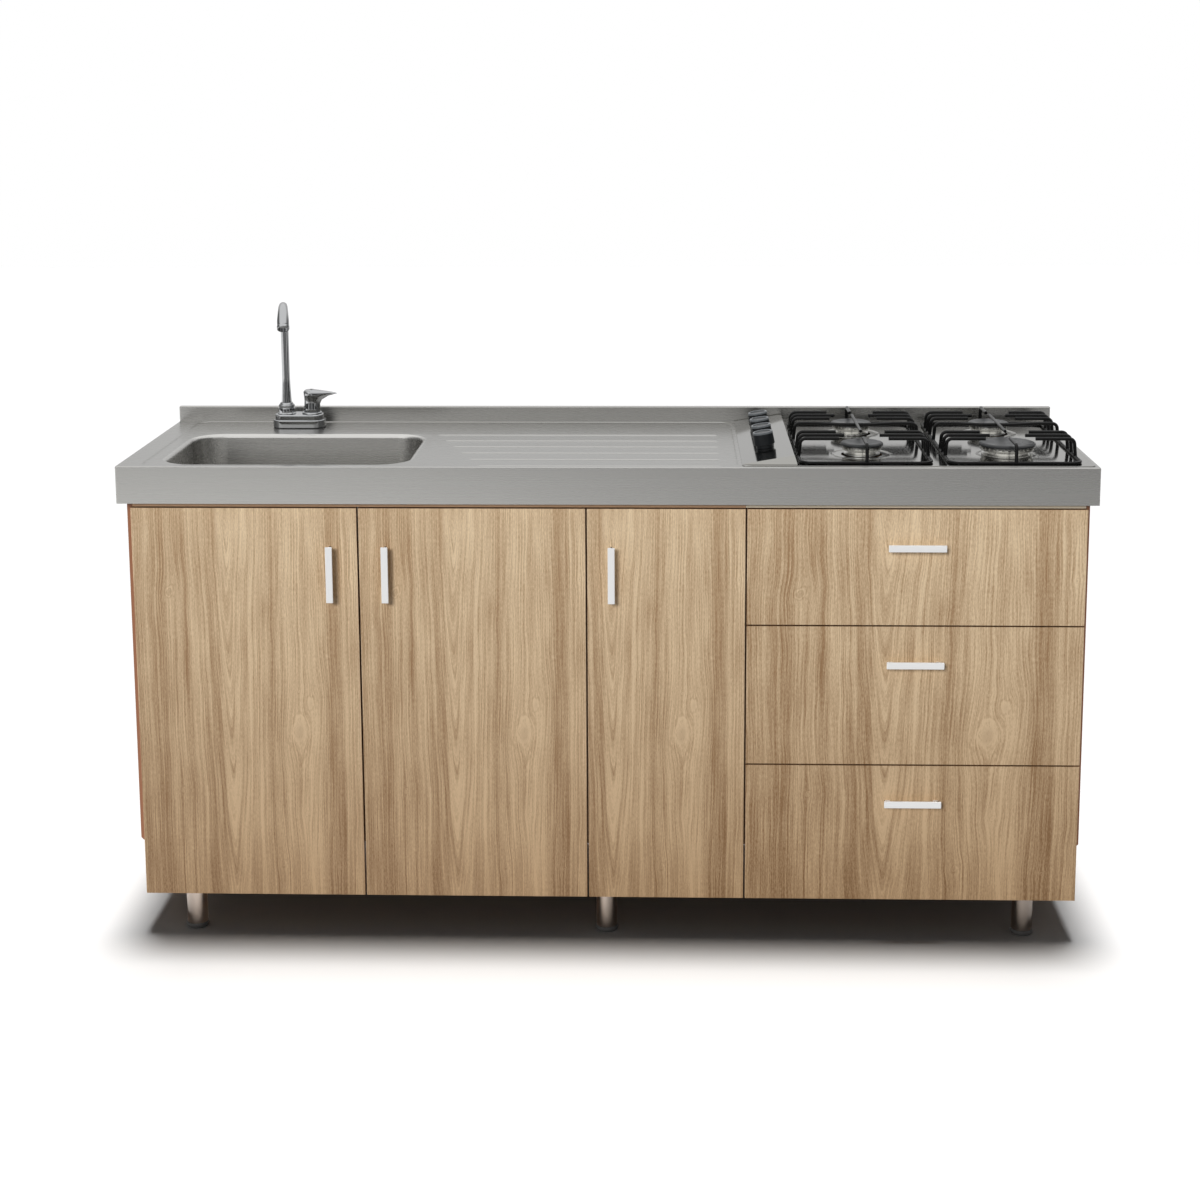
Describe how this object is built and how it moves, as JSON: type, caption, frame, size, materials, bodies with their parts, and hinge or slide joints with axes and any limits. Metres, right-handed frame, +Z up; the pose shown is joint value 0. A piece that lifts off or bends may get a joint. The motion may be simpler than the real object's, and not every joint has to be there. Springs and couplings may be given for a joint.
{
  "type": "kitchen base cabinet",
  "caption": "Free-standing kitchen base unit: steel worktop with sink bowl, ribbed drainer, swivel tap and gas hob over wood-grain doors and drawers on round legs.",
  "frame": {"origin": "middle of the overall box, on the floor under the feet", "axes": "+X to the right along the fronts, +Y to the wall, +Z up"},
  "size_m": [1.8, 0.522, 1.1753],
  "materials": {
    "wood_laminate": "satin printed wood grain, upright",
    "white_board": "matt white melamine",
    "stainless_sheet": "fine brushed stainless",
    "chrome": "polished",
    "zinc_steel": "zinc plated",
    "brushed_leg_steel": "brushed tube",
    "white_handle_paint": "satin light grey",
    "black_enamel_wire": "glossy black enamel",
    "enamelled_cap": "matt dark enamel",
    "burner_aluminium": "cast, satin",
    "black_plastic": "satin black",
    "black_rubber": "matt",
    "white_plastic": "satin",
    "gas_brass": "machined",
    "gas_steel": "bare pipe"
  },
  "bodies": {
    "cabinet": {"side_panel_left": "wood_laminate", "side_panel_right": "wood_laminate", "partition_sink": "wood_laminate", "partition_drawers": "wood_laminate", "bottom_panel": "wood_laminate", "back_panel": "white_board", "top_rails": "wood_laminate", "sink_stretcher": "zinc_steel", "shelf": "wood_laminate", "shelf_pins": "zinc_steel", "leg_tubes": "brushed_leg_steel", "leg_plates": "zinc_steel", "leg_feet": "black_plastic", "worktop": "stainless_sheet", "worktop_core": "wood_laminate", "sink_bowl": "stainless_sheet", "drain_flange": "stainless_sheet", "waste_trap": "white_plastic", "tap_body": "chrome", "tap_gasket": "black_rubber", "tap_nuts": "zinc_steel", "hob_panel": "stainless_sheet", "burner_cups": "burner_aluminium", "burner_crowns": "burner_aluminium", "burner_caps": "enamelled_cap", "gas_valves": "gas_brass", "gas_rail": "gas_steel", "hinge_arms": "zinc_steel", "drawer_runners": "zinc_steel"},
    "door_left": {"door_left": "wood_laminate", "door_left_handle": "white_handle_paint", "door_left_hinge_cups": "zinc_steel"},
    "door_middle": {"door_middle": "wood_laminate", "door_middle_handle": "white_handle_paint", "door_middle_hinge_cups": "zinc_steel"},
    "door_right": {"door_right": "wood_laminate", "door_right_handle": "white_handle_paint", "door_right_hinge_cups": "zinc_steel"},
    "drawer_top": {"drawer_top_front": "wood_laminate", "drawer_top_box": "white_board", "drawer_top_handle": "white_handle_paint", "drawer_top_rails": "zinc_steel"},
    "drawer_middle": {"drawer_middle_front": "wood_laminate", "drawer_middle_box": "white_board", "drawer_middle_handle": "white_handle_paint", "drawer_middle_rails": "zinc_steel"},
    "drawer_bottom": {"drawer_bottom_front": "wood_laminate", "drawer_bottom_box": "white_board", "drawer_bottom_handle": "white_handle_paint", "drawer_bottom_rails": "zinc_steel"},
    "tap_spout": {"tap_spout": "chrome"},
    "tap_lever": {"tap_lever": "chrome"},
    "knob_1": {"knob_1": "black_plastic"},
    "knob_2": {"knob_2": "black_plastic"},
    "knob_3": {"knob_3": "black_plastic"},
    "knob_4": {"knob_4": "black_plastic"},
    "pan_support_left": {"pan_support_left": "black_enamel_wire"},
    "pan_support_right": {"pan_support_right": "black_enamel_wire"},
    "strainer_basket": {"strainer_basket": "stainless_sheet"}
  },
  "joints": [
    {"name": "door_left_hinge", "type": "hinge", "parent": "cabinet", "child": "door_left", "pos_m": [-0.8722, -0.2331, 0.506], "axis": [0, 0, -1], "range_deg": [0, 90]},
    {"name": "door_middle_hinge", "type": "hinge", "parent": "cabinet", "child": "door_middle", "pos_m": [-0.0428, -0.2331, 0.506], "axis": [0, 0, 1], "range_deg": [0, 90]},
    {"name": "door_right_hinge", "type": "hinge", "parent": "cabinet", "child": "door_right", "pos_m": [0.2522, -0.2331, 0.506], "axis": [0, 0, 1], "range_deg": [0, 90]},
    {"name": "drawer_top_slide", "type": "slide", "parent": "cabinet", "child": "drawer_top", "axis": [0, -1, 0], "range_m": [0, 0.32]},
    {"name": "drawer_middle_slide", "type": "slide", "parent": "cabinet", "child": "drawer_middle", "axis": [0, -1, 0], "range_m": [0, 0.32]},
    {"name": "drawer_bottom_slide", "type": "slide", "parent": "cabinet", "child": "drawer_bottom", "axis": [0, -1, 0], "range_m": [0, 0.32]},
    {"name": "tap_spout_swivel", "type": "hinge", "parent": "cabinet", "child": "tap_spout", "pos_m": [-0.664, 0.193, 0.98], "axis": [0, 0, 1], "range_deg": [-80, 80]},
    {"name": "tap_lever_turn", "type": "hinge", "parent": "cabinet", "child": "tap_lever", "pos_m": [-0.612, 0.193, 0.96], "axis": [0, 0, 1], "range_deg": [-90, 0]},
    {"name": "knob_1_turn", "type": "hinge", "parent": "cabinet", "child": "knob_1", "pos_m": [0.3, -0.102, 0.92262], "axis": [-0.1528, 0, 0.9883], "range_deg": [0, 200]},
    {"name": "knob_2_turn", "type": "hinge", "parent": "cabinet", "child": "knob_2", "pos_m": [0.3, -0.025, 0.92262], "axis": [-0.1528, 0, 0.9883], "range_deg": [0, 200]},
    {"name": "knob_3_turn", "type": "hinge", "parent": "cabinet", "child": "knob_3", "pos_m": [0.3, 0.052, 0.92262], "axis": [-0.1528, 0, 0.9883], "range_deg": [0, 200]},
    {"name": "knob_4_turn", "type": "hinge", "parent": "cabinet", "child": "knob_4", "pos_m": [0.3, 0.129, 0.92262], "axis": [-0.1528, 0, 0.9883], "range_deg": [0, 200]},
    {"name": "pan_support_left_lift", "type": "slide", "parent": "cabinet", "child": "pan_support_left", "axis": [0, 0, 1], "range_m": [0, 0.1]},
    {"name": "pan_support_right_lift", "type": "slide", "parent": "cabinet", "child": "pan_support_right", "axis": [0, 0, 1], "range_m": [0, 0.1]},
    {"name": "strainer_basket_lift", "type": "slide", "parent": "cabinet", "child": "strainer_basket", "axis": [0, 0, 1], "range_m": [0, 0.2]}
  ]
}
